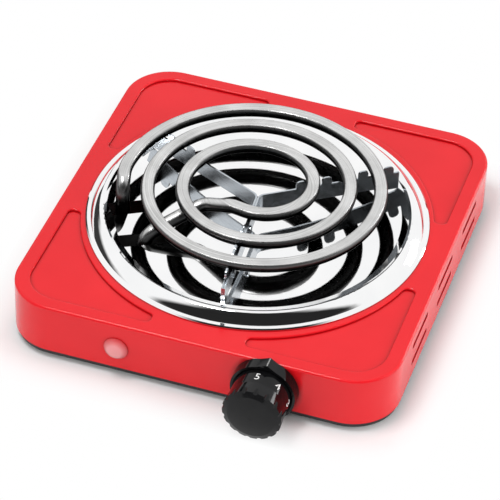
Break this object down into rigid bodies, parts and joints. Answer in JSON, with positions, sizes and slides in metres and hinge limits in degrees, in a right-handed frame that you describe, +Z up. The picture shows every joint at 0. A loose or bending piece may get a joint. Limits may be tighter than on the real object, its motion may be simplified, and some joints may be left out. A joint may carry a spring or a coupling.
{
  "type": "hot plate burner",
  "caption": "Portable electric hot plate: square red housing, chrome drip pan, spiral heating coil on a three-armed support, thermostat knob and pilot lamp.",
  "frame": {"origin": "on the surface that it stands on, under the middle of the overall outline with the knob and the gland", "axes": "+Z up, -Y towards the front with the knob, +X to the right seen from the front"},
  "size_m": [0.225, 0.264, 0.06],
  "materials": {
    "red_paint": "glossy red enamel",
    "black_sheet": "satin black paint",
    "chrome": "bright chrome plate",
    "heater_steel": "satin heater sheath, flat worn bright",
    "strip_steel": "bare strip steel",
    "black_knob": "glossy black phenolic plastic",
    "lens_red": "translucent red plastic",
    "rubber_black": "matt black rubber",
    "zinc_steel": "zinc-plated steel",
    "brass": "plain brass",
    "ceramic": null,
    "holder_plastic": "heat-proof off-white plastic",
    "bulb_glass": "clear glass neon bulb",
    "wire_brown": "brown silicone insulation",
    "wire_blue": "blue silicone insulation",
    "wire_green": "green and yellow silicone insulation",
    "wire_white": "white silicone insulation"
  },
  "bodies": {
    "hot_plate": {"top_housing": "red_paint", "base_plate": "black_sheet", "drip_pan": "chrome", "heating_coil": "heater_steel", "support_strip_left": "strip_steel", "support_strip_right": "strip_steel", "support_rivets": "strip_steel", "knob_bezel": "black_knob", "lamp_lens": "lens_red", "foot_front_left": "rubber_black", "foot_front_right": "rubber_black", "foot_rear_left": "rubber_black", "foot_rear_right": "rubber_black", "cord_gland": "rubber_black", "base_screws": "zinc_steel", "coil_bracket": "zinc_steel", "coil_bracket_screws": "zinc_steel", "coil_bracket_nuts": "zinc_steel", "bezel_screws": "zinc_steel", "thermostat_bracket": "zinc_steel", "terminal_pins": "zinc_steel", "lamp_ring": "zinc_steel", "block_clamp_screws": "zinc_steel", "block_fixing_screws": "zinc_steel", "earth_screw": "zinc_steel", "earth_nut": "zinc_steel", "stack_rivet": "zinc_steel", "spindle_bush": "brass", "contact_blade": "brass", "bimetal_blade": "brass", "contact_buttons": "brass", "pin_connectors": "brass", "earth_tag": "brass", "end_seals": "ceramic", "ceramic_stack": "ceramic", "lamp_holder": "holder_plastic", "terminal_block": "holder_plastic", "lamp_bulb": "bulb_glass", "live_wire": "wire_brown", "heater_wire": "wire_brown", "neutral_wire": "wire_blue", "earth_wire": "wire_green", "lamp_lead_left": "wire_white", "lamp_lead_right": "wire_white"},
    "knob": {"control_knob": "black_knob", "knob_clip": "zinc_steel", "control_spindle": "zinc_steel"}
  },
  "joints": [
    {"name": "knob_turn", "type": "hinge", "parent": "hot_plate", "child": "knob", "pos_m": [0.0436, -0.104, 0.02], "axis": [0, 1, 0], "range_deg": [-209.2, 10.8]}
  ]
}
